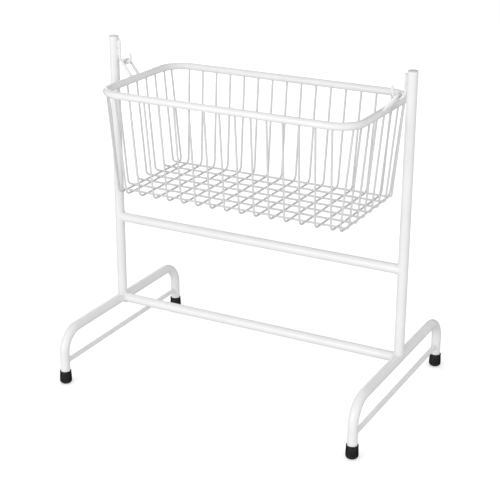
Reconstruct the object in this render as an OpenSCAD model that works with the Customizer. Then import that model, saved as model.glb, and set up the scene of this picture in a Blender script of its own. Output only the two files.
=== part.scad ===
// Hanging baby cradle: a wire basket on two hooks between the posts of a tube stand.
// Millimetres, +Z up, X along the basket, Y across it, origin on the floor at the centre.

/* [Stand] */
// distance from the middle plane to each post axis
post_x = 418; // [350:1:480]
// height of the post tops over the floor, end plugs included
post_top = 888; // [700:1:1000]
// outside diameter of the posts, leg arches and crossbars
tube_d = 25.4; // [19:0.1:32]
// wall of the stand tubes
tube_wall = 1.5; // [1:0.1:3]
// height of the leg arch tubes and of the lower crossbar
arch_z = 143.5; // [100:0.5:220]
// distance from the middle plane to each leg axis
leg_y = 285; // [220:1:340]
// centreline radius of the leg bends
arch_bend = 60; // [45:1:90]
// height of the upper crossbar
upper_bar_z = 384.5; // [300:0.5:460]
// height of the thin struts between the legs
strut_z = 60; // [50:1:75]
// outside diameter of the struts
strut_d = 12.7; // [8:0.1:16]
// wall of the struts
strut_wall = 1.2; // [0.8:0.1:2]

/* [Feet and plugs] */
// largest outside diameter of a rubber foot
foot_d = 32.4; // [29:0.1:38]
// height of a rubber foot
foot_h = 36; // [25:1:45]
// rubber under the end of the leg tube
foot_base = 5; // [3:0.5:10]
// thickness of the plug head on a post
plug_h = 2.6; // [1.5:0.1:6]
// length of the plug inside the post
plug_in = 14; // [8:1:25]

/* [Hooks] */
// diameter of the hook rod and of the stirrup rod
rod_d = 8; // [6:0.1:10]
// centreline radius of the hook bend
hook_r = 16.5; // [14:0.5:22]
// height of the rod centre at the bottom of the hook, which is the swing axis
pivot_z = 817; // [760:0.5:880]
// top of the straight leg of the hook on the post
hook_top = 879; // [850:1:900]
// top of the hook tip
hook_tip = 846; // [838:1:860]

/* [Basket] */
// half of the rim length, to the tube centre
rim_x = 351; // [300:1:370]
// half of the rim width, to the tube centre
rim_y = 184; // [150:1:230]
// height of the rim tube centre
rim_z = 781.4; // [740:0.1:800]
// outside diameter of the rim tube
rim_d = 19; // [14:0.5:25]
// wall of the rim tube
rim_wall = 1.2; // [0.8:0.1:2]
// centreline radius of the rim corners
rim_corner = 62; // [40:1:90]
// distance across the stirrup legs, centre to centre
stirrup_w = 34; // [28:1:60]
// centreline radius of the stirrup bends
stirrup_bend = 9; // [7:0.5:12]
// diameter of the basket wires
wire_d = 5; // [3:0.5:6]
// spacing of the cross wires
cross_pitch = 42.5; // [30:0.5:60]
// spacing of the lengthwise wires
long_pitch = 45; // [30:0.5:60]
// height of the cross wires at the floor of the basket
floor_z = 515; // [480:1:600]
// how far the basket's long sides come in for each millimetre of wire
side_slant = 0.0957543; // [0:0.0000001:0.2]
// how far the basket's ends come in for each millimetre of wire
end_slant = 0.0906809; // [0:0.0000001:0.2]
// centreline radius of the bends of the cross wires
wire_bend = 18; // [12:1:40]
// centreline radius of the bends of the lengthwise wires
end_bend = 9; // [7:1:30]
// how far the corner wires come in along the basket for each millimetre of wire
corner_slant = 0.103562; // [0:0.000001:0.2]

/* [Hidden] */
// air between the stirrup bar and the bottom of the hook
swing_gap = 0.3;
// depth to which a rod is pressed into the tube that it is welded to
weld_bite = 0.1;
// depth to which a wire end reaches into the underside of the rim
wire_bite = 0.05;
// the cross wires fan out too: what the slant of the first one takes off its height, for each one
fan = 0.00001;
// turn of a wire bend before it is trimmed where the floor begins
bend_turn = 110;
// chamfer of the plug head, its height and its width
plug_edge = [0.8, 1.2];
// chamfer at the top of the hook's straight leg
rod_edge = 1.2;
// rounding of a foot's sole, height of its widest part, wall at its neck, rounding of its lip
sole_round = 7;
belly_h = 11;
neck_wall = 2.5;
lip_round = 1;
// vent hole in the rim: its diameter and its place along the end
vent_d = 3;
vent_y = 60;
// length by which a cutting shape runs past what it cuts
over = 1;

tube_r = tube_d / 2;
rod_r = rod_d / 2;
rim_r = rim_d / 2;
wire_r = wire_d / 2;
foot_r = foot_d / 2;
hook_x = post_x - tube_r - rod_r - hook_r + weld_bite;
stirrup_z = pivot_z + rod_d + swing_gap;
cross_n = 7;
long_n = 3;
white = [0.93, 0.93, 0.94];
black = [0.05, 0.05, 0.055];
grey = [0.7, 0.7, 0.72];
$fn = 48;

// ---- shapes shared by several parts ----

// solid bar along X, Y or Z between two coordinates
module bar_z(r, a, b) {
  translate([0, 0, a]) cylinder(r = r, h = b - a);
}

module bar_x(r, a, b) {
  rotate([0, 90, 0]) bar_z(r, a, b);
}

module bar_y(r, a, b) {
  rotate([-90, 0, 0]) bar_z(r, a, b);
}

// length rounded to a hundredth, so that straight and bent stretches meet exactly
function hundredth(v) = round(100 * v) / 100;

// ring section swept about Z, with its centreline at radius c
module sweep(r, c, turn) {
  rotate_extrude(angle = turn) translate([c, 0]) circle(r = r);
}

// leg arch as a solid of radius r, in the YZ plane, with its ends at height z0
module arch_body(r, z0) {
  bar_span = leg_y - arch_bend;
  translate([0, 0, arch_z]) bar_y(r, -bar_span, bar_span);
  for (s = [-1, 1]) {
    translate([0, s * leg_y, 0]) bar_z(r, z0, arch_z - arch_bend);
    translate([0, s * bar_span, arch_z - arch_bend])
      rotate([0, -90, 0]) rotate([0, 0, s > 0 ? 0 : -90]) sweep(r, arch_bend, 90);
  }
}

// rim as a solid of radius r
module rim_body(r) {
  sx = rim_x - rim_corner;
  sy = rim_y - rim_corner;
  translate([0, 0, rim_z]) {
    for (s = [-1, 1]) {
      translate([0, s * rim_y, 0]) bar_x(r, -sx, sx);
      translate([s * rim_x, 0, 0]) bar_y(r, -sy, sy);
    }
    for (k = [0 : 3]) {
      mx = (k == 0 || k == 3) ? 1 : -1;
      my = (k < 2) ? 1 : -1;
      translate([mx * sx, my * sy, 0]) rotate([0, 0, 90 * k]) sweep(r, rim_corner, 90);
    }
  }
}

// wire bent to a U in the XZ plane, its floor at height 0; its legs aim at the centre of the
// rim tube, half_top out and height up, and stop on the underside of that tube
module u_wire(half_top, height, lean, bend) {
  tan_len = bend * tan((90 - lean) / 2);
  flat = hundredth(half_top - height * tan(lean) - tan_len);
  leg_len = hundredth(height / cos(lean) - tan_len - rim_r + wire_bite);
  bar_x(wire_r, -flat, flat);
  for (m = [0, 1]) {
    mirror([m, 0, 0]) translate([flat, 0, bend]) intersection() {
      rotate([0, lean, 0]) {
        translate([bend, 0, 0]) bar_z(wire_r, 0, leg_len);
        rotate([-90, 0, 0]) sweep(wire_r, bend, bend_turn);
      }
      // trims the bend square where the floor begins
      translate([0, -wire_d, -bend - wire_d]) cube([height, 2 * wire_d, 2 * height]);
    }
  }
}

// ---- stand ----

module post(s) {
  color(white) difference() {
    translate([s * post_x, 0, 0]) bar_z(tube_r, arch_z + over, post_top - plug_h);
    translate([s * post_x, 0, 0]) bar_z(tube_r - tube_wall, arch_z - over, post_top);
    translate([s * post_x, 0, arch_z]) bar_y(tube_r, -tube_d, tube_d);
  }
}

module post_plug(s) {
  color(grey) translate([s * post_x, 0, post_top - plug_h]) {
    translate([0, 0, -plug_in]) cylinder(r = tube_r - tube_wall, h = plug_in);
    cylinder(r = tube_r, h = plug_h - plug_edge[0]);
    translate([0, 0, plug_h - plug_edge[0]])
      cylinder(r1 = tube_r, r2 = tube_r - plug_edge[1], h = plug_edge[0]);
  }
}

module leg_arch(s) {
  color(white) translate([s * post_x, 0, 0]) difference() {
    arch_body(tube_r, foot_base);
    arch_body(tube_r - tube_wall, foot_base - over);
  }
}

module crossbar_upper() {
  color(white) difference() {
    translate([0, 0, upper_bar_z]) bar_x(tube_r, -post_x, post_x);
    translate([0, 0, upper_bar_z]) bar_x(tube_r - tube_wall, -post_x - over, post_x + over);
    for (s = [-1, 1])
      translate([s * post_x, 0, 0]) bar_z(tube_r, upper_bar_z - tube_d, upper_bar_z + tube_d);
  }
}

module crossbar_lower() {
  color(white) difference() {
    translate([0, 0, arch_z]) bar_x(tube_r, -post_x, post_x);
    translate([0, 0, arch_z]) bar_x(tube_r - tube_wall, -post_x - over, post_x + over);
    for (s = [-1, 1]) {
      translate([s * post_x, 0, arch_z]) bar_y(tube_r, -tube_d, tube_d);
      translate([s * post_x, 0, 0]) bar_z(tube_r, arch_z, arch_z + tube_d);
    }
  }
}

module strut(s) {
  color(white) translate([s * post_x, 0, 0]) difference() {
    translate([0, 0, strut_z]) bar_y(strut_d / 2, -leg_y, leg_y);
    translate([0, 0, strut_z]) bar_y(strut_d / 2 - strut_wall, -leg_y - over, leg_y + over);
    for (t = [-1, 1])
      translate([0, t * leg_y, 0]) bar_z(tube_r, strut_z - strut_d, strut_z + strut_d);
  }
}

// rubber ferrule: rounded sole, widest low down, tapered to a rounded lip round the tube
module foot(sx, sy) {
  neck_r = tube_r + neck_wall;
  sole = [for (a = [0 : 18 : 90])
    [foot_r - sole_round * (1 - sin(a)), sole_round * (1 - cos(a))]];
  lip = [for (a = [0 : 30 : 90])
    [neck_r - lip_round * (1 - cos(a)), foot_h - lip_round * (1 - sin(a))]];
  color(black) translate([sx * post_x, sy * leg_y, 0]) difference() {
    rotate_extrude() polygon(concat([[0, 0]], sole, [[foot_r, belly_h]], lip, [[0, foot_h]]));
    translate([0, 0, foot_base]) cylinder(r = tube_r, h = foot_h);
  }
}

// J-hook against the inner side of the post, its opening upwards
module hook(s) {
  leg_len = hook_top - pivot_z - hook_r - rod_edge;
  tip_len = hook_tip - pivot_z - hook_r - rod_r;
  color(white) mirror([s < 0 ? 1 : 0, 0, 0]) translate([hook_x, 0, pivot_z + hook_r]) {
    rotate([90, 0, 0]) rotate([0, 0, 180]) sweep(rod_r, hook_r, 180);
    translate([hook_r, 0, 0]) bar_z(rod_r, 0, leg_len);
    translate([hook_r, 0, leg_len]) cylinder(r1 = rod_r, r2 = rod_r - rod_edge, h = rod_edge);
    translate([-hook_r, 0, 0]) bar_z(rod_r, 0, tip_len);
    translate([-hook_r, 0, tip_len]) sphere(r = rod_r);
  }
}

// ---- basket ----

module basket_rim() {
  color(white) difference() {
    rim_body(rim_r);
    rim_body(rim_r - rim_wall);
    // vent hole in the underside of one end
    translate([rim_x, vent_y, rim_z - rim_r - over]) cylinder(d = vent_d, h = rim_r);
  }
}

// bail that stands on the end of the rim and leans out over the hook
module stirrup(s) {
  out = hook_x - rim_x;
  up = stirrup_z - rim_z;
  lean = atan2(out, up);
  reach = norm([out, up]);
  half = stirrup_w / 2;
  color(white) mirror([s < 0 ? 1 : 0, 0, 0]) difference() {
    translate([rim_x, 0, rim_z]) rotate([0, lean, 0]) {
      for (t = [-1, 1]) {
        translate([0, t * half, 0]) bar_z(rod_r, 0, reach - stirrup_bend);
        translate([0, t * (half - stirrup_bend), reach - stirrup_bend])
          rotate([0, -90, 0]) rotate([0, 0, t > 0 ? 0 : -90]) sweep(rod_r, stirrup_bend, 90);
      }
      translate([0, 0, reach]) bar_y(rod_r, stirrup_bend - half, half - stirrup_bend);
    }
    translate([rim_x, 0, rim_z]) bar_y(rim_r, -stirrup_w, stirrup_w);
  }
}

// half width of the rim's centreline at x, or half length at y with the two sizes exchanged
function rim_reach(v, along, across) =
  let (in = max(0, abs(v) - (along - rim_corner)))
  across - rim_corner + sqrt(rim_corner * rim_corner - in * in);

// U wire across the basket under the rim at x, its floor nearer the middle by the slant
module slanted_wire(x, slant, lean) {
  rise = rim_z - floor_z;
  s = sign(x);
  translate([s * hundredth(abs(x) - rise * tan(slant)), 0, floor_z]) rotate([0, s * slant, 0])
    rotate([0, 0, 90]) u_wire(rim_reach(x, rim_x, rim_y), rise / cos(slant), lean, wire_bend);
}

module cross_wires() {
  color(white) for (i = [-cross_n : cross_n])
    slanted_wire(i * cross_pitch, acos(1 - fan * i * i), asin(side_slant));
}

// the wires under the rim's corners come in further and stand upright across the basket
module corner_wires() {
  color(white) for (s = [-1, 1])
    slanted_wire(s * (cross_n + 1) * cross_pitch, asin(corner_slant), 0);
}

module long_wires() {
  color(white) for (j = [-long_n : long_n]) {
    y = j * long_pitch;
    translate([0, y, floor_z + wire_d])
      u_wire(rim_reach(y, rim_y, rim_x), rim_z - floor_z - wire_d, asin(end_slant), end_bend);
  }
}

post(-1);  // post_left
post(1);  // post_right
post_plug(-1);  // post_plug_left
post_plug(1);  // post_plug_right
leg_arch(-1);  // leg_arch_left
leg_arch(1);  // leg_arch_right
crossbar_upper();
crossbar_lower();
strut(-1);  // strut_left
strut(1);  // strut_right
foot(-1, -1);  // foot_front_left
foot(1, -1);  // foot_front_right
foot(-1, 1);  // foot_back_left
foot(1, 1);  // foot_back_right
hook(-1);  // hook_left
hook(1);  // hook_right
basket_rim();
stirrup(-1);  // stirrup_left
stirrup(1);  // stirrup_right
cross_wires();
corner_wires();
long_wires();
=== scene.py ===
import math
import random

import bpy
import numpy as np
from mathutils import Matrix, Vector


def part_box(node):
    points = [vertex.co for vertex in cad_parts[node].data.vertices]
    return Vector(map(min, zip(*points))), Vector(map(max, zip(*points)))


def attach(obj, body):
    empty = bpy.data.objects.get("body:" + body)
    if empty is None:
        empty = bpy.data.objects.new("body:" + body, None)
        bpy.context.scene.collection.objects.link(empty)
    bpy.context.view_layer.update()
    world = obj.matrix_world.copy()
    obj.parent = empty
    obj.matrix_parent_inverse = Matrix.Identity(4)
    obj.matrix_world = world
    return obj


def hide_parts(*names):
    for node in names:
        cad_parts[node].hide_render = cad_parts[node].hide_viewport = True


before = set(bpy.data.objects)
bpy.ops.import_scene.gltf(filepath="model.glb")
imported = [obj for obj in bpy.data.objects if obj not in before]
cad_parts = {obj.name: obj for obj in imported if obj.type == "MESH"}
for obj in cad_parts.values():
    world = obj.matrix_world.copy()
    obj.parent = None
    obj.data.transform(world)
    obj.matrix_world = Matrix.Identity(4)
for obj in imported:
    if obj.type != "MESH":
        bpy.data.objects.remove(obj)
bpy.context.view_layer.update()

TAU = 2 * math.pi
QUARTER = math.pi / 2
X, Y, Z = np.eye(3)

# ---------------------------------------------------------------------------
# sizes in metres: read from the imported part, or else as in its source
# ---------------------------------------------------------------------------


def box(node):
    """Lowest and highest corner of a CAD node, as arrays."""
    low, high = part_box(node)
    return np.array(low), np.array(high)


# posts, leg arches, crossbars and struts
post_low, post_high = box("post_right")
POST_X = (post_low[0] + post_high[0]) / 2
TUBE_R = (post_high[1] - post_low[1]) / 2
TUBE_WALL = 0.0015
POST_END = post_high[2]
POST_TOP = box("post_plug_right")[1][2]
arch_low, arch_high = box("leg_arch_right")
ARCH_Z = arch_high[2] - TUBE_R
LEG_Y = arch_high[1] - TUBE_R
LEG_END = arch_low[2]
ARCH_BEND = 0.060
bar_low, bar_high = box("crossbar_upper")
UPPER_Z = (bar_low[2] + bar_high[2]) / 2
strut_low, strut_high = box("strut_right")
STRUT_Z = (strut_low[2] + strut_high[2]) / 2
STRUT_R = (strut_high[2] - strut_low[2]) / 2

# rubber feet
foot_low, foot_high = box("foot_front_right")
FOOT_R = (foot_high[0] - foot_low[0]) / 2
FOOT_H = foot_high[2]

# hooks
hook_low, hook_high = box("hook_right")
ROD_R = (hook_high[1] - hook_low[1]) / 2
HOOK_X = (hook_low[0] + hook_high[0]) / 2
HOOK_R = (hook_high[0] - hook_low[0]) / 2 - ROD_R
PIVOT_Z = hook_low[2] + ROD_R
HOOK_TOP = hook_high[2]
HOOK_TIP = 0.846

# rim and stirrups
rim_low, rim_high = box("basket_rim")
RIM_R = (rim_high[2] - rim_low[2]) / 2
RIM_X = rim_high[0] - RIM_R
RIM_Y = rim_high[1] - RIM_R
RIM_Z = (rim_low[2] + rim_high[2]) / 2
RIM_CORNER = 0.062
stirrup_high = box("stirrup_right")[1]
STIRRUP_HALF = stirrup_high[1] - ROD_R
STIRRUP_Z = stirrup_high[2] - ROD_R
STIRRUP_BEND = 0.009

# basket wires: across the basket, under the rim's corners, and lengthwise; the N are the
# numbers on each side of the middle one
WIRE_R = 0.0025
CROSS_PITCH = 0.0425
CROSS_N = 7
CROSS_BEND = 0.018
CROSS_LEAN = math.asin(0.0957543)
CORNER_SLANT = math.asin(0.103562)
LONG_PITCH = 0.045
LONG_N = 3
LONG_BEND = 0.009
LONG_LEAN = math.asin(0.0906809)
FLOOR_Z = box("cross_wires")[0][2] + WIRE_R
RISE = RIM_Z - FLOOR_Z
# the cross wires fan out: the i-th from the middle slants by acos(1 - FAN * i * i)
FAN = 0.00001

# sides of the round sections
FOOT_SIDES = 64
TUBE_SIDES = 48
RIM_SIDES = 40
STRUT_SIDES = 32
ROD_SIDES = 24
WIRE_SIDES = 16

# rounding of the edge of an open tube end, and of the upper end of a hook
TUBE_EDGE = 0.0005
HOOK_EDGE = 0.0012
# how far the shaped end of a tube reaches into the tube that it is welded to
BITE = 0.0002
# distance from the axis of that other tube at which the plain part of a tube begins
PLAIN_FROM = 0.020
# points of a path that are closer than this are one point
SAME_POINT = 1e-7

# ---------------------------------------------------------------------------
# meshes
# ---------------------------------------------------------------------------


def unit(v):
    v = np.asarray(v, float)
    return v / np.linalg.norm(v)


def circle(sides, u, v):
    """Points of a unit circle that starts at direction u and turns towards v."""
    a = np.arange(sides)[:, None] * TAU / sides
    return np.cos(a) * u + np.sin(a) * v


class Mesh:
    """Vertices and faces gathered from several sweeps, then made into one object."""

    def __init__(self):
        self.points = []
        self.faces = []
        self.count = 0

    def add_rings(self, rings, closed=False):
        """Skins a list of rings that all have the same number of points."""
        rings = np.asarray(rings, float)
        n, sides = rings.shape[:2]
        base = self.count
        self.points.append(rings.reshape(-1, 3))
        self.count += n * sides
        for k in range(n if closed else n - 1):
            a = base + k * sides
            b = base + ((k + 1) % n) * sides
            for i in range(sides):
                j = (i + 1) % sides
                self.faces.append((a + i, a + j, b + j, b + i))
        if not closed:
            last = base + (n - 1) * sides
            self.faces.append(tuple(range(base + sides - 1, base - 1, -1)))
            self.faces.append(tuple(range(last, last + sides)))

    def tube(self, path, radius, normal, sides, closed=False):
        """A round bar along a flat path. normal is at right angles to the path's plane."""
        path = np.asarray(path, float)
        radius = np.broadcast_to(radius, len(path))
        if closed:
            ahead, behind = np.roll(path, -1, 0), np.roll(path, 1, 0)
        else:
            ahead = np.vstack([path[1:], path[-1:]])
            behind = np.vstack([path[:1], path[:-1]])
        rings = []
        for point, r, along in zip(path, radius, ahead - behind):
            rings.append(point + r * circle(sides, np.cross(normal, unit(along)), normal))
        self.add_rings(rings, closed)

    def lathe(self, profile, at, sides):
        """A turned shape: profile is a list of (radius, height) from the bottom up."""
        ring = circle(sides, X, Y)
        self.add_rings([np.asarray(at) + h * Z + r * ring for r, h in profile])

    def make(self, name, body, slot, material, sharp=35, nodes=()):
        """Makes the object; edges where faces meet at more than sharp degrees stay crisp."""
        mesh = bpy.data.meshes.new(name)
        points = np.vstack(self.points)
        mesh.from_pydata(points.tolist(), [], self.faces)
        mesh.validate()
        mesh.polygons.foreach_set("use_smooth", [True] * len(mesh.polygons))
        mesh.set_sharp_from_angle(angle=math.radians(sharp))
        mesh.materials.append(material)
        mesh.update()
        piece = bpy.data.objects.new(name, mesh)
        bpy.context.scene.collection.objects.link(piece)
        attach(piece, body)
        if nodes:
            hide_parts(*nodes)


def arc(centre, start, turn, radius, angle, steps):
    """Points on an arc: it starts in direction start from the centre and turns towards turn."""
    a = np.linspace(0, angle, steps + 1)[:, None]
    return np.asarray(centre) + radius * (
        np.cos(a) * np.asarray(start) + np.sin(a) * np.asarray(turn)
    )


def join(*parts):
    """One path out of several, without repeating the points where they meet."""
    points = []
    for part in parts:
        for p in np.atleast_2d(part):
            if not points or np.linalg.norm(points[-1] - p) > SAME_POINT:
                points.append(p)
    return np.array(points)


def rounded_end(radius, edge, steps):
    """(radius, distance back from the end) of a round bar whose edge is rounded by edge."""
    turns = np.linspace(0, QUARTER, steps + 1)
    return [(radius - edge * (1 - math.cos(t)), edge * (1 - math.sin(t))) for t in turns]


# ---------------------------------------------------------------------------
# welds
# ---------------------------------------------------------------------------

# size of the beads at the tube joints, at the struts, at the stirrups and round the wires
WELD = 0.0038
STRUT_WELD = 0.72 * WELD
STIRRUP_WELD = 0.62 * WELD
RIM_WELD = 0.0019
# spacing of the ripples; number of the slow swellings along a bead, and their share of its size
RIPPLE_PITCH = 0.0024
SWELLS = 4
SWELLING = 0.05
# height over a flat seam, what a square corner adds, and radius, as shares of the bead's size
RISE_FLAT = 0.26
RISE_CORNER = 0.44
REACH = 0.92
# an open run keeps this share of its height at its ends and gains it back at this rate
BLUNT = 0.25
TAPER = 5

rng = random.Random(11)


def seam(at, direction, r, mains, steps):
    """Where a branch of radius r meets the main tubes, each given as (point, axis, radius).

    Gives for each step round the branch the point on both surfaces, the branch's outward
    direction and the main tube's outward direction.
    """
    branch = unit(direction)
    u = unit(np.cross(branch, mains[0][1]))
    v = np.cross(branch, u)
    found = []
    for k in range(steps):
        a = TAU * k / steps
        outward = math.cos(a) * u + math.sin(a) * v
        start = np.asarray(at) + r * outward
        furthest, main_outward = None, None
        for point, axis, main_r in mains:
            q = start - point
            q = q - q.dot(axis) * axis
            d = branch - branch.dot(axis) * axis
            square = d.dot(d)
            inside = max(0.0, q.dot(d) ** 2 - square * (q.dot(q) - main_r * main_r))
            t = (-q.dot(d) + math.sqrt(inside)) / square
            if furthest is None or t > furthest:
                furthest, main_outward = t, unit(q + t * d)
        found.append((start + furthest * branch, outward, main_outward))
    return found


def bead(mesh, line, size, ripple=0.11, sides=10, closed=True):
    """A weld bead along a seam: thick in a corner, thin where the surfaces run together."""
    count = len(line)
    length = sum(
        np.linalg.norm(line[k][0] - line[k - 1][0]) for k in range(0 if closed else 1, count)
    )
    waves = max(3, round(length / RIPPLE_PITCH))
    phase = rng.uniform(0, TAU)
    swell = [rng.uniform(-1, 1) for _ in range(SWELLS)]
    rings = []
    for k, (point, n1, n2) in enumerate(line):
        ahead = line[(k + 1) % count][0] if closed or k + 1 < count else point
        behind = line[k - 1][0] if closed or k else point
        along = unit(ahead - behind)
        outward = unit(n1 + n2)
        outward = unit(outward - outward.dot(along) * along)
        across = np.cross(along, outward)
        s = k / count
        slow = sum(c * math.sin((m + 1) * TAU * s + m) for m, c in enumerate(swell))
        lump = 1 + ripple * math.sin(waves * TAU * s + phase) + SWELLING * slow
        corner = min(1.0, max(0.0, 1 - n1.dot(n2)))
        rise = size * (RISE_FLAT + RISE_CORNER * corner) * lump
        reach = size * REACH * lump
        if not closed:
            fade = min(1.0, TAPER * min(s, 1 - s) + BLUNT)
            rise *= fade
            reach *= math.sqrt(fade)
        centre = point + outward * (rise - reach)
        rings.append(centre + reach * circle(sides, outward, across))
    mesh.add_rings(rings, closed=closed)


# ---------------------------------------------------------------------------
# materials
# ---------------------------------------------------------------------------

# most values of a noise lie between these two
NOISE_SPAN = (0.3, 0.7)
COAT_WHITES = ((0.80, 0.803, 0.812), (0.84, 0.84, 0.845))
# bare steel where the hooks rub: how bare its middle is, the span of distance from there in
# which it fades out, and how ragged its edge is
BARE_STEEL = (0.42, 0.42, 0.43)
WORN_MOST = 0.85
WORN_FADE = (0.0055, 0.0085)
WORN_RAGGED = 0.005
RUBBER_BLACKS = ((0.010, 0.010, 0.011), (0.020, 0.020, 0.021))
RUBBER_DUST = (0.060, 0.057, 0.054)
# span of height in which the dust on the feet fades out
DUST_FADE = (0.001, 0.010)
PLASTIC_GREYS = ((0.64, 0.645, 0.655), (0.72, 0.72, 0.73))


def new_material(name):
    material = bpy.data.materials.new(name)
    material.use_nodes = True
    tree = material.node_tree
    tree.nodes.clear()
    out = tree.nodes.new("ShaderNodeOutputMaterial")
    shader = tree.nodes.new("ShaderNodeBsdfPrincipled")
    tree.links.new(shader.outputs[0], out.inputs["Surface"])
    coords = tree.nodes.new("ShaderNodeTexCoord").outputs["Object"]
    return material, tree, shader, coords


def noise(tree, coords, scale, detail, rough=0.5):
    """Noise with about scale lumps a metre, and detail finer layers on top."""
    node = tree.nodes.new("ShaderNodeTexNoise")
    node.inputs["Scale"].default_value = scale
    node.inputs["Detail"].default_value = detail
    node.inputs["Roughness"].default_value = rough
    tree.links.new(coords, node.inputs["Vector"])
    return node.outputs["Fac"]


def spread(tree, value, source, target=(0, 1)):
    """Maps the span source onto the span target and stays inside it."""
    node = tree.nodes.new("ShaderNodeMapRange")
    node.clamp = True
    for name, number in zip(("From Min", "From Max", "To Min", "To Max"), (*source, *target)):
        node.inputs[name].default_value = number
    tree.links.new(value, node.inputs["Value"])
    return node.outputs["Result"]


def calculate(tree, operation, *values):
    """A Math node; each value is a float or another node's output."""
    node = tree.nodes.new("ShaderNodeMath")
    node.operation = operation
    for socket, value in zip(node.inputs, values):
        if isinstance(value, float):
            socket.default_value = value
        else:
            tree.links.new(value, socket)
    return node.outputs[0]


def mix_colour(tree, factor, a, b):
    """Colour a where factor is 0 and b where it is 1; each is a tuple or a node's output."""
    node = tree.nodes.new("ShaderNodeMix")
    node.data_type = "RGBA"
    tree.links.new(factor, node.inputs["Factor"])
    for name, colour in (("A", a), ("B", b)):
        socket = [i for i in node.inputs if i.name == name and i.type == "RGBA"][0]
        if isinstance(colour, tuple):
            socket.default_value = (*colour, 1)
        else:
            tree.links.new(colour, socket)
    return [o for o in node.outputs if o.type == "RGBA"][0]


def bump(tree, height, distance, strength, normal=None):
    node = tree.nodes.new("ShaderNodeBump")
    node.inputs["Distance"].default_value = distance
    node.inputs["Strength"].default_value = strength
    tree.links.new(height, node.inputs["Height"])
    if normal is not None:
        tree.links.new(normal, node.inputs["Normal"])
    return node.outputs["Normal"]


def finish_shader(tree, shader, colour, roughness, normal, ior=1.5):
    tree.links.new(colour, shader.inputs["Base Color"])
    tree.links.new(roughness, shader.inputs["Roughness"])
    tree.links.new(normal, shader.inputs["Normal"])
    shader.inputs["IOR"].default_value = ior


def worn_patch(tree, coords, colour, place):
    """Bare steel with a ragged edge round place and round its mirror images."""
    folded = tree.nodes.new("ShaderNodeVectorMath")
    folded.operation = "ABSOLUTE"
    tree.links.new(coords, folded.inputs[0])
    apart = tree.nodes.new("ShaderNodeVectorMath")
    apart.operation = "DISTANCE"
    tree.links.new(folded.outputs[0], apart.inputs[0])
    apart.inputs[1].default_value = place
    edge = noise(tree, coords, 700, 3)
    ragged = calculate(tree, "MULTIPLY_ADD", edge, WORN_RAGGED, apart.outputs["Value"])
    worn = spread(tree, ragged, WORN_FADE, (WORN_MOST, 0))
    return mix_colour(tree, worn, colour, BARE_STEEL)


def powder_coat(name, painted_shade_tone=1.0, worn_at=None):
    """White powder coat: orange peel, slightly uneven gloss, and grey where the hooks rub. A
    coat darkened all over is painted shade.
    """
    material, tree, shader, coords = new_material(name)
    whites = [tuple(painted_shade_tone * c for c in white) for white in COAT_WHITES]
    shade = spread(tree, noise(tree, coords, 14, 3), NOISE_SPAN)
    colour = mix_colour(tree, shade, *whites)
    if worn_at is not None:
        colour = worn_patch(tree, coords, colour, worn_at)
    rough = spread(tree, noise(tree, coords, 60, 3), NOISE_SPAN, (0.30, 0.40))
    peel = bump(tree, noise(tree, coords, 420, 1.5), 0.00022, 0.75)
    fine = bump(tree, noise(tree, coords, 1900, 1), 0.00003, 0.5, peel)
    finish_shader(tree, shader, colour, rough, fine)
    return material


def rubber():
    """Matt black rubber with a little floor dust low down."""
    material, tree, shader, coords = new_material("black_rubber")
    split = tree.nodes.new("ShaderNodeSeparateXYZ")
    tree.links.new(coords, split.inputs[0])
    low = spread(tree, split.outputs["Z"], DUST_FADE, (1, 0))
    patches = spread(tree, noise(tree, coords, 260, 4, 0.65), (0.35, 0.7), (0.1, 1))
    shade = spread(tree, noise(tree, coords, 90, 3), NOISE_SPAN)
    black = mix_colour(tree, shade, *RUBBER_BLACKS)
    dust = calculate(tree, "MULTIPLY", low, patches)
    colour = mix_colour(tree, dust, black, RUBBER_DUST)
    rough = spread(tree, noise(tree, coords, 120, 3), NOISE_SPAN, (0.46, 0.60))
    grain = bump(tree, noise(tree, coords, 900, 3), 0.00012, 0.6)
    finish_shader(tree, shader, colour, rough, grain, ior=1.52)
    return material


def plastic():
    """Light grey moulded plastic."""
    material, tree, shader, coords = new_material("grey_plastic")
    shade = spread(tree, noise(tree, coords, 150, 3), NOISE_SPAN)
    colour = mix_colour(tree, shade, *PLASTIC_GREYS)
    rough = spread(tree, noise(tree, coords, 300, 2), NOISE_SPAN, (0.42, 0.55))
    grain = bump(tree, noise(tree, coords, 1600, 2), 0.00006, 0.6)
    finish_shader(tree, shader, colour, rough, grain)
    return material


COAT = powder_coat("white_powder_coat")
# the wires wear the same white paint as the stand; their darkened coat is painted shade that
# makes the thin wires look greyer
PAINTED_SHADE_WIRE_COAT = powder_coat("painted_shade_wire_coat", painted_shade_tone=0.80)
HOOK_COAT = powder_coat("hook_powder_coat", worn_at=(HOOK_X, 0, PIVOT_Z + ROD_R))
RUBBER = rubber()
PLASTIC = plastic()
WHITE_SLOT = "white_powder_coat"

# ---------------------------------------------------------------------------
# camera, floor and light
# ---------------------------------------------------------------------------

# the camera comes from a fit to the tubes in the photograph
CAMERA_AZIMUTH = math.radians(27.84)
CAMERA_PITCH = math.radians(21.10)
CAMERA_ROLL = math.radians(0.23)
CAMERA_AT = (1.4533, -2.7735, 1.5689)
LENS = 91.93
SENSOR = 36
CAMERA_FAR = 60

# studio
FLOOR_HALF = 15.0
WALL_R = 14.0
WALL_SIDES = 64
WALL_Z = (-0.5, 12.0)
LIGHTS_AIM = (0, 0, 0.45)
SKY = 0.74


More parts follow.
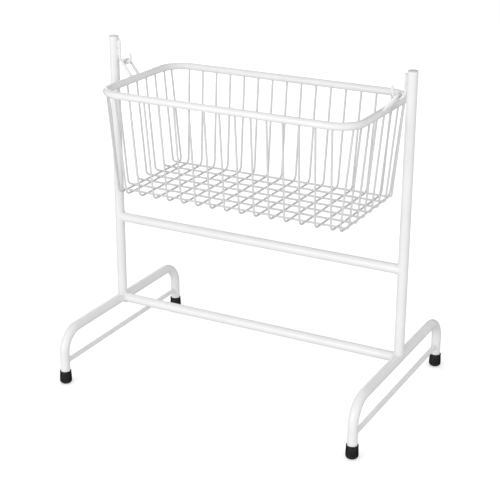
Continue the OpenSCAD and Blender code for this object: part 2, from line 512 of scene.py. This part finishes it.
def place_camera():
    data = bpy.data.cameras.new("camera")
    data.lens = LENS
    data.sensor_width = SENSOR
    data.clip_end = CAMERA_FAR
    looking = np.array([
        -math.sin(CAMERA_AZIMUTH) * math.cos(CAMERA_PITCH),
        math.cos(CAMERA_AZIMUTH) * math.cos(CAMERA_PITCH),
        -math.sin(CAMERA_PITCH),
    ])
    level = np.array([math.cos(CAMERA_AZIMUTH), math.sin(CAMERA_AZIMUTH), 0])
    right = math.cos(CAMERA_ROLL) * level + math.sin(CAMERA_ROLL) * np.cross(level, looking)
    turned = np.array([right, np.cross(right, looking), -looking]).T
    camera = bpy.data.objects.new("camera", data)
    camera.rotation_mode = "QUATERNION"
    camera.rotation_quaternion = Matrix(turned.tolist()).to_quaternion()
    camera.location = CAMERA_AT
    bpy.context.scene.collection.objects.link(camera)
    bpy.context.scene.camera = camera


def paper(name, white, glow):
    """Paper without any gloss that also gives off some light of its own."""
    material, _, shader, _ = new_material(name)
    shader.inputs["Base Color"].default_value = (white, white, white, 1)
    shader.inputs["Roughness"].default_value = 0.9
    shader.inputs["Specular IOR Level"].default_value = 0.0
    shader.inputs["Emission Color"].default_value = (1, 1, 1, 1)
    shader.inputs["Emission Strength"].default_value = glow
    return material


def studio_piece(name, points, faces, material):
    """A piece of the studio that neither lights the object nor shows in its gloss."""
    mesh = bpy.data.meshes.new(name)
    mesh.from_pydata(points, [], faces)
    mesh.materials.append(material)
    piece = bpy.data.objects.new(name, mesh)
    bpy.context.scene.collection.objects.link(piece)
    piece.visible_diffuse = False
    piece.visible_glossy = False
    return piece


def stage_floor():
    signs = ((-1, -1), (1, -1), (1, 1), (-1, 1))
    points = [(x * FLOOR_HALF, y * FLOOR_HALF, 0) for x, y in signs]
    material = paper("floor_paper", white=0.93, glow=0.30)
    floor = studio_piece("floor", points, [(0, 1, 2, 3)], material)


def stage_backdrop():
    """A wide white wall all round, so that low views have no dark horizon."""
    points, faces = [], []
    for k in range(WALL_SIDES):
        a = k * TAU / WALL_SIDES
        for z in WALL_Z:
            points.append((WALL_R * math.cos(a), WALL_R * math.sin(a), z))
        j = (k + 1) % WALL_SIDES
        faces.append((2 * k, 2 * j, 2 * j + 1, 2 * k + 1))
    material = paper("backdrop_paper", white=0, glow=1.0)
    wall = studio_piece("backdrop", points, faces, material)
    wall.visible_shadow = False


def area_light(name, at, size, power):
    """A square soft light that faces the middle of the object."""
    data = bpy.data.lights.new(name, "AREA")
    data.shape = "RECTANGLE"
    data.size = size
    data.size_y = size
    data.energy = power
    lamp = bpy.data.objects.new(name, data)
    lamp.location = at
    lamp.rotation_mode = "QUATERNION"
    lamp.rotation_quaternion = (Vector(LIGHTS_AIM) - Vector(at)).to_track_quat("-Z", "Y")
    bpy.context.scene.collection.objects.link(lamp)


def studio_world():
    """White light from all sides that doesn't show in the object's gloss."""
    world = bpy.data.worlds.new("studio")
    world.use_nodes = True
    background = world.node_tree.nodes["Background"]
    background.inputs["Color"].default_value = (1, 1, 1, 1)
    background.inputs["Strength"].default_value = SKY
    bpy.context.scene.world = world
    world.cycles_visibility.glossy = False


place_camera()
stage_floor()
stage_backdrop()
area_light("key", at=(-1.2, -4.4, 1.5), size=2.4, power=84)
area_light("fill", at=(3.8, -2.0, 1.3), size=2.2, power=30)
area_light("back", at=(-3.0, 3.4, 1.6), size=2.0, power=26)
studio_world()
bpy.context.scene.view_settings.view_transform = "Standard"

# ---------------------------------------------------------------------------
# stand; s is -1 on the left and 1 on the right
# ---------------------------------------------------------------------------

# plug: play round it, length of its stem, rounding under and over the edge of its head
PLUG_PLAY = 0.0001
PLUG_STEM = 0.013
PLUG_UNDER = 0.0003
PLUG_OVER = 0.0021
# plug head, as shares of its height: its straight side, its rounded edge and the dome's fall
HEAD_SIDE = 0.42
HEAD_EDGE = 0.44
HEAD_FALL = 0.12
DOME_RINGS = (0.0093, 0.007, 0.0045, 0.002)
# foot: shallow dish in the sole as (radius, height), rounding of the sole, and taper and belly
# of the wall
SOLE_DISH = [(0.0035, 0.0006), (0.0060, 0.0006), (0.0065, 0.0001), (0.0072, 0.0)]
SOLE_ROUND = 0.0085
FOOT_TAPER = 0.0010
TAPER_POWER = 1.3
FOOT_BELLY = 0.00007
# foot's lip: where the wall ends and where the lip's middle is, both down from the top of the
# foot, how far it starts inside the wall, how far it swells out, and half its height
WALL_DOWN = 0.0045
LIP_DOWN = 0.0020
LIP_IN = 0.0007
LIP_OUT = 0.0011
LIP_HALF = 0.0018
# foot's mouth: how far it is wider than the tube, how far the socket grips it, and their depths
MOUTH_WIDER = 0.0004
SOCKET_GRIP = 0.0001
MOUTH_DOWN = 0.0004
SOCKET_DOWN = 0.0014
# height at which a leg's tube comes out of its foot and is still straight
LEG_RING = 0.045
# distance below the end of a post to which its plain part goes
POST_PLAIN = 0.010
# smallest radius of the ball at a hook's tip
TIP_MIN = 0.0002
# weld runs beside a hook's leg: size, length, distance from the bend and from the top, steps
RUN_WELD = 0.0030
RUN = 0.016
RUN_AFTER_BEND = 0.003
RUN_BELOW_TOP = 0.004
RUN_STEPS = 26
# place of a run: share of the post's radius towards the basket, and distance from the middle
RUN_IN = 0.985
RUN_ASIDE = 0.0022
# directions out of the post and out of the hook's leg there, as (away from the basket, aside)
OUT_OF_POST = (-0.62, 0.78)
OUT_OF_LEG = (0.75, 0.66)


def side_of(s):
    return "right" if s > 0 else "left"


def build_post(s):
    """Upright tube, its foot shaped to the leg arch."""
    mesh = Mesh()
    axis = s * POST_X * X
    ring = circle(TUBE_SIDES, X, Y)
    foot = axis + TUBE_R * ring
    foot[:, 2] = ARCH_Z + TUBE_R * np.abs(ring[:, 1]) - BITE
    rings = [foot]
    for z in np.linspace(ARCH_Z + PLAIN_FROM, POST_END - POST_PLAIN, 12):
        rings.append(axis + TUBE_R * ring + z * Z)
    for r, back in rounded_end(TUBE_R, TUBE_EDGE, steps=4):
        rings.append(axis + r * ring + (POST_END - back) * Z)
    mesh.add_rings(rings)
    name = side_of(s)
    mesh.make(f"post_tube_{name}", "stand", WHITE_SLOT, COAT, nodes=[f"post_{name}"])


def build_plug(s):
    """Moulded end plug: a stem in the tube, a thin lip and a softly domed head."""
    mesh = Mesh()
    head = POST_TOP - POST_END
    stem = TUBE_R - TUBE_WALL - PLUG_PLAY
    side = TUBE_R - PLUG_PLAY
    seat = PLUG_PLAY / 2
    profile = [(stem, -PLUG_STEM), (stem, seat), (side - PLUG_UNDER, seat)]
    profile += [(side, PLUG_PLAY + PLUG_UNDER), (side, HEAD_SIDE * head)]
    for t in np.linspace(0, QUARTER, 9)[1:-1]:
        height = head * (HEAD_SIDE + HEAD_EDGE * math.sin(t))
        profile.append((side - PLUG_OVER * (1 - math.cos(t)), height))
    dome = side - PLUG_OVER - PLUG_UNDER
    for r in DOME_RINGS:
        profile.append((r, head * (1 - HEAD_FALL * (r / dome) ** 2)))
    mesh.lathe(profile, (s * POST_X, 0, POST_END), TUBE_SIDES)
    name = side_of(s)
    nodes = [f"post_plug_{name}"]
    mesh.make(f"plug_{name}", "stand", "grey_plastic", PLASTIC, sharp=30, nodes=nodes)


def build_arch(s):
    """Leg tube: up from the front foot, over and down to the back foot."""
    mesh = Mesh()
    x = s * POST_X
    span = LEG_Y - ARCH_BEND
    top = ARCH_Z - ARCH_BEND
    path = join(
        [(x, -LEG_Y, LEG_END), (x, -LEG_Y, LEG_RING)],
        arc((x, -span, top), -Y, Z, ARCH_BEND, QUARTER, steps=20),
        [(x, y, ARCH_Z) for y in np.linspace(-span, span, 9)],
        arc((x, span, top), Z, Y, ARCH_BEND, QUARTER, steps=20),
        [(x, LEG_Y, LEG_RING), (x, LEG_Y, LEG_END)],
    )
    mesh.tube(path, TUBE_R, X, TUBE_SIDES)
    name = side_of(s)
    mesh.make(f"leg_tube_{name}", "stand", WHITE_SLOT, COAT, nodes=[f"leg_arch_{name}"])


def meets_post(ring):
    """How far from a post's axis each point of a crossbar's section meets the post."""
    return TUBE_R * np.abs(ring[:, 2])


def meets_post_foot(ring):
    """The same at the foot of a post, where the crossbar also meets the leg arch."""
    return TUBE_R * np.maximum(np.abs(ring[:, 1]), np.maximum(ring[:, 2], 0))


def build_crossbar(place, z, meets):
    """Tube between the posts, its ends shaped to what it meets there."""
    mesh = Mesh()
    ring = circle(TUBE_SIDES, Y, Z)
    section = TUBE_R * ring + z * Z
    reach = (POST_X - meets(ring) + BITE)[:, None] * X
    rings = [section - reach]
    for x in np.linspace(PLAIN_FROM - POST_X, POST_X - PLAIN_FROM, 14):
        rings.append(section + x * X)
    rings.append(section + reach)
    mesh.add_rings(rings)
    name = f"crossbar_tube_{place}"
    mesh.make(name, "stand", WHITE_SLOT, COAT, nodes=[f"crossbar_{place}"])


def build_strut(s):
    """Thin tube between the two legs of an arch, its ends shaped to them."""
    mesh = Mesh()
    ring = circle(STRUT_SIDES, X, -Z)
    section = STRUT_R * ring + np.array([s * POST_X, 0, STRUT_Z])
    meets = np.sqrt(TUBE_R**2 - (STRUT_R * ring[:, 0]) ** 2)
    reach = (LEG_Y - meets + BITE)[:, None] * Y
    rings = [section - reach]
    for y in np.linspace(PLAIN_FROM - LEG_Y, LEG_Y - PLAIN_FROM, 8):
        rings.append(section + y * Y)
    rings.append(section + reach)
    mesh.add_rings(rings)
    name = side_of(s)
    mesh.make(f"strut_rod_{name}", "stand", WHITE_SLOT, COAT, nodes=[f"strut_{name}"])


def build_foot(sx, sy):
    """Moulded rubber ferrule: dished and rounded sole, tapered wall, rolled lip at the top."""
    mesh = Mesh()
    sole = []
    for t in np.linspace(0, QUARTER, 10)[1:]:
        radius = FOOT_R - SOLE_ROUND * (1 - math.sin(t))
        sole.append((radius, SOLE_ROUND * (1 - math.cos(t))))
    wall = []
    for t in np.linspace(0, 1, 10)[1:]:
        radius = FOOT_R - FOOT_TAPER * t**TAPER_POWER + FOOT_BELLY * math.sin(math.pi * t)
        wall.append((radius, SOLE_ROUND + t * (FOOT_H - WALL_DOWN - SOLE_ROUND)))
    lip = []
    for t in np.linspace(0, math.pi, 9):
        radius = FOOT_R - FOOT_TAPER - LIP_IN + LIP_OUT * math.sin(t)
        lip.append((radius, FOOT_H - LIP_DOWN - LIP_HALF * math.cos(t)))
    socket = TUBE_R - SOCKET_GRIP
    inner = [(TUBE_R + MOUTH_WIDER, FOOT_H - MOUTH_DOWN)]
    inner += [(socket, FOOT_H - SOCKET_DOWN), (socket, LEG_END)]
    profile = SOLE_DISH + sole + wall + lip + inner
    mesh.lathe(profile, (sx * POST_X, sy * LEG_Y, 0), FOOT_SIDES)
    name = ("front" if sy < 0 else "back") + "_" + side_of(sx)
    nodes = [f"foot_{name}"]
    mesh.make(f"ferrule_{name}", "stand", "black_rubber", RUBBER, sharp=50, nodes=nodes)


def build_hook(s):
    """J-hook bent from round bar: leg against the post, open upwards, tip towards the basket."""
    mesh = Mesh()
    centre = np.array([s * HOOK_X, 0, PIVOT_Z + HOOK_R])
    leg = s * (HOOK_X + HOOK_R) * X
    tip = s * (HOOK_X - HOOK_R) * X
    # from the tip, which ends in half a ball, down and round to the top of the leg
    ball = rounded_end(ROD_R, ROD_R, steps=8)[::-1]
    bowl = arc(centre, s * X, -Z, HOOK_R, math.pi, steps=28)[::-1]
    edge = rounded_end(ROD_R, HOOK_EDGE, steps=8)
    path = [tip + (HOOK_TIP - back) * Z for _, back in ball]
    path += [*bowl]
    path += [leg + (HOOK_TOP - back) * Z for _, back in edge]
    radii = [max(r, TIP_MIN) for r, _ in ball]
    radii += [ROD_R] * len(bowl)
    radii += [r for r, _ in edge]
    mesh.tube(path, radii, Y, ROD_SIDES)
    name = side_of(s)
    mesh.make(f"hook_rod_{name}", "stand", WHITE_SLOT, HOOK_COAT, nodes=[f"hook_{name}"])


def hook_run(s, t, low):
    """Seam of one short weld run in a groove between a hook's leg and the post."""
    foot = np.array([s * (POST_X - RUN_IN * TUBE_R), t * RUN_ASIDE, low])
    n1, n2 = (np.array([s * out, t * aside, 0]) for out, aside in (OUT_OF_POST, OUT_OF_LEG))
    return [(foot + RUN * k / RUN_STEPS * Z, n1, n2) for k in range(RUN_STEPS + 1)]


def build_stand_welds(s):
    """Beads at the joints of one post, at the ends of its strut and along its hook."""
    mesh = Mesh()
    foot = np.array([s * POST_X, 0, ARCH_Z])
    upper = np.array([s * POST_X, 0, UPPER_Z])
    arch, post = (foot, Y, TUBE_R), (foot, Z, TUBE_R)
    bead(mesh, seam(foot, Z, TUBE_R, [arch], steps=96), WELD)
    bead(mesh, seam(foot, -s * X, TUBE_R, [arch, post], steps=96), WELD)
    bead(mesh, seam(upper, -s * X, TUBE_R, [post], steps=96), WELD)
    for t in (-1, 1):
        leg = np.array([s * POST_X, t * LEG_Y, STRUT_Z])
        bead(mesh, seam(leg, -t * Y, STRUT_R, [(leg, Z, TUBE_R)], steps=56), STRUT_WELD)
        for low in (PIVOT_Z + HOOK_R + RUN_AFTER_BEND, HOOK_TOP - RUN_BELOW_TOP - RUN):
            bead(mesh, hook_run(s, t, low), RUN_WELD, closed=False)
    mesh.make(f"stand_welds_{side_of(s)}", "stand", WHITE_SLOT, COAT, sharp=60)


for s in (-1, 1):
    build_post(s)
    build_plug(s)
    build_arch(s)
    build_strut(s)
    build_hook(s)
    for sy in (-1, 1):
        build_foot(s, sy)
    build_stand_welds(s)
build_crossbar("upper", UPPER_Z, meets_post)
build_crossbar("lower", ARCH_Z, meets_post_foot)

# ---------------------------------------------------------------------------
# basket
# ---------------------------------------------------------------------------

# how far the ends of the stirrups and of the wires reach into the rim
STIRRUP_BITE = 0.001
WIRE_BITE = 0.0006
# lens of metal where two wires cross: span of its radius, half its height, how far its
# outline departs from a circle, its sides and its rings
NUGGET_R = (0.0026, 0.0031)
NUGGET_HALF = 0.0019
NUGGET_WAVE = 0.06
NUGGET_SIDES = 14
NUGGET_RINGS = 7


def build_rim():
    """Closed ring of tube with four round corners."""
    mesh = Mesh()
    sx, sy = RIM_X - RIM_CORNER, RIM_Y - RIM_CORNER
    corners = [
        arc((sx, sy, RIM_Z), X, Y, RIM_CORNER, QUARTER, steps=20),
        arc((-sx, sy, RIM_Z), Y, -X, RIM_CORNER, QUARTER, steps=20),
        arc((-sx, -sy, RIM_Z), -X, -Y, RIM_CORNER, QUARTER, steps=20),
        arc((sx, -sy, RIM_Z), -Y, X, RIM_CORNER, QUARTER, steps=20),
    ]
    ring = []
    for k, corner in enumerate(corners):
        following = corners[(k + 1) % 4][0]
        ring += [corner, np.linspace(corner[-1], following, 9)[1:-1]]
    mesh.tube(join(*ring), RIM_R, Z, RIM_SIDES, closed=True)
    mesh.make("rim_tube", "basket", WHITE_SLOT, COAT, nodes=["basket_rim"])


def build_stirrup(s):
    """Bail of round rod that leans out from the end of the rim to the hook, with its welds."""
    mesh = Mesh()
    root = np.array([s * RIM_X, 0, RIM_Z])
    over = np.array([s * HOOK_X, 0, STIRRUP_Z]) - root
    up = unit(over)
    start = root + up * (RIM_R - STIRRUP_BITE)
    turn = root + up * (np.linalg.norm(over) - STIRRUP_BEND)
    side = STIRRUP_HALF - STIRRUP_BEND
    path = join(
        [start - STIRRUP_HALF * Y],
        arc(turn - side * Y, -Y, up, STIRRUP_BEND, QUARTER, steps=12),
        arc(turn + side * Y, up, Y, STIRRUP_BEND, QUARTER, steps=12),
        [start + STIRRUP_HALF * Y],
    )
    mesh.tube(path, ROD_R, np.cross(up, Y), ROD_SIDES)
    name = side_of(s)
    mesh.make(f"stirrup_rod_{name}", "basket", WHITE_SLOT, HOOK_COAT, nodes=[f"stirrup_{name}"])
    welds = Mesh()
    for t in (-1, 1):
        leg = root + t * STIRRUP_HALF * Y
        bead(welds, seam(leg, up, ROD_R, [(leg, Y, RIM_R)], steps=48), STIRRUP_WELD)
    welds.make(f"stirrup_welds_{name}", "basket", WHITE_SLOT, COAT, sharp=60)


def rim_point(v, along, across):
    """Reach of the rim's centreline across at v, and how far its direction has turned there."""
    into = max(0.0, abs(v) - (along - RIM_CORNER))
    reach = across - RIM_CORNER + math.sqrt(RIM_CORNER**2 - into**2)
    return reach, math.copysign(math.asin(into / RIM_CORNER), v)


def wire_path(origin, u, w, half_top, height, lean, radius):
    """A U of wire: floor along u, legs towards w, aimed at the middle of the rim tube."""
    corner = radius * math.tan((QUARTER - lean) / 2)
    flat = half_top - height * math.tan(lean) - corner
    leg = height / math.cos(lean) - corner - RIM_R + WIRE_BITE
    sides = []
    for m in (-1, 1):
        centre = origin + m * flat * u + radius * w
        bend = arc(centre, -w, m * u, radius, QUARTER - lean, steps=9)
        top = bend[-1] + leg * (m * math.sin(lean) * u + math.cos(lean) * w)
        sides.append(join(bend, np.linspace(bend[-1], top, 5)))
    floor = np.linspace(origin - flat * u, origin + flat * u, 7)[1:-1]
    return join(sides[0][::-1], floor, sides[1])


wires = {kind: Mesh() for kind in ("cross", "corner", "long")}
wire_welds = Mesh()


def rim_weld(top, direction, rim_direction):
    """Small weld round a wire where it runs into the underside of the rim."""
    line = seam(top, direction, WIRE_R, [(top, rim_direction, RIM_R)], steps=20)
    bead(wire_welds, line, RIM_WELD, ripple=0.03, sides=8)


def nugget(at, radius):
    """Lens of metal squeezed out where two wires are welded across each other."""
    a = np.arange(NUGGET_SIDES)[:, None] * TAU / NUGGET_SIDES
    # a little wider between the wires than along them
    outline = circle(NUGGET_SIDES, X, Y) * (1 + NUGGET_WAVE * np.cos(4 * (a - math.pi / 4)))
    rings = []
    for k in range(NUGGET_RINGS):
        t = (k + 0.5) / NUGGET_RINGS * math.pi
        rings.append(at + radius * math.sin(t) * outline - NUGGET_HALF * math.cos(t) * Z)
    wire_welds.add_rings(rings)


def wire_across(kind, top_x, slant, lean):
    """One wire across the basket; gives the place of its floor along the basket."""
    s = np.sign(top_x)
    w = np.array([s * math.sin(slant), 0, math.cos(slant)])
    floor_x = top_x - s * RISE * math.tan(slant)
    origin = np.array([floor_x, 0, FLOOR_Z])
    half, turned = rim_point(top_x, RIM_X, RIM_Y)
    path = wire_path(origin, Y, w, half, RISE / math.cos(slant), lean, CROSS_BEND)
    wires[kind].tube(path, WIRE_R, np.cross(Y, w), WIRE_SIDES)
    for t in (-1, 1):
        top = np.array([top_x, t * half, RIM_Z])
        down = -math.cos(lean) * w - t * math.sin(lean) * Y
        rim_weld(top, down, np.array([math.cos(turned), -t * math.sin(turned), 0]))
    return floor_x


def wire_along(y, crossings):
    """One lengthwise wire on top of the others, welded to each of them at its crossing."""
    half, turned = rim_point(y, RIM_Y, RIM_X)
    origin = np.array([0, y, FLOOR_Z + 2 * WIRE_R])
    path = wire_path(origin, X, Z, half, RISE - 2 * WIRE_R, LONG_LEAN, LONG_BEND)
    wires["long"].tube(path, WIRE_R, Y, WIRE_SIDES)
    for t in (-1, 1):
        top = np.array([t * half, y, RIM_Z])
        down = np.array([-t * math.sin(LONG_LEAN), 0, -math.cos(LONG_LEAN)])
        rim_weld(top, down, np.array([-t * math.sin(turned), math.cos(turned), 0]))
    for x in crossings:
        nugget(np.array([x, y, FLOOR_Z + WIRE_R]), rng.uniform(*NUGGET_R))


def build_wires():
    """All the wires of the basket; the cross wires fan out towards the rim."""
    crossings = []
    for i in range(-CROSS_N, CROSS_N + 1):
        slant = math.acos(1 - FAN * i * i)
        crossings.append(wire_across("cross", i * CROSS_PITCH, slant, CROSS_LEAN))
    for s in (-1, 1):
        top_x = s * (CROSS_N + 1) * CROSS_PITCH
        crossings.append(wire_across("corner", top_x, CORNER_SLANT, 0.0))
    for j in range(-LONG_N, LONG_N + 1):
        wire_along(j * LONG_PITCH, crossings)
    for kind, mesh in wires.items():
        mesh.make(f"{kind}_wire_rods", "basket", WHITE_SLOT, PAINTED_SHADE_WIRE_COAT, nodes=[f"{kind}_wires"])
    wire_welds.make("wire_welds", "basket", WHITE_SLOT, PAINTED_SHADE_WIRE_COAT, sharp=60)


build_wires()
build_rim()
for s in (-1, 1):
    build_stirrup(s)
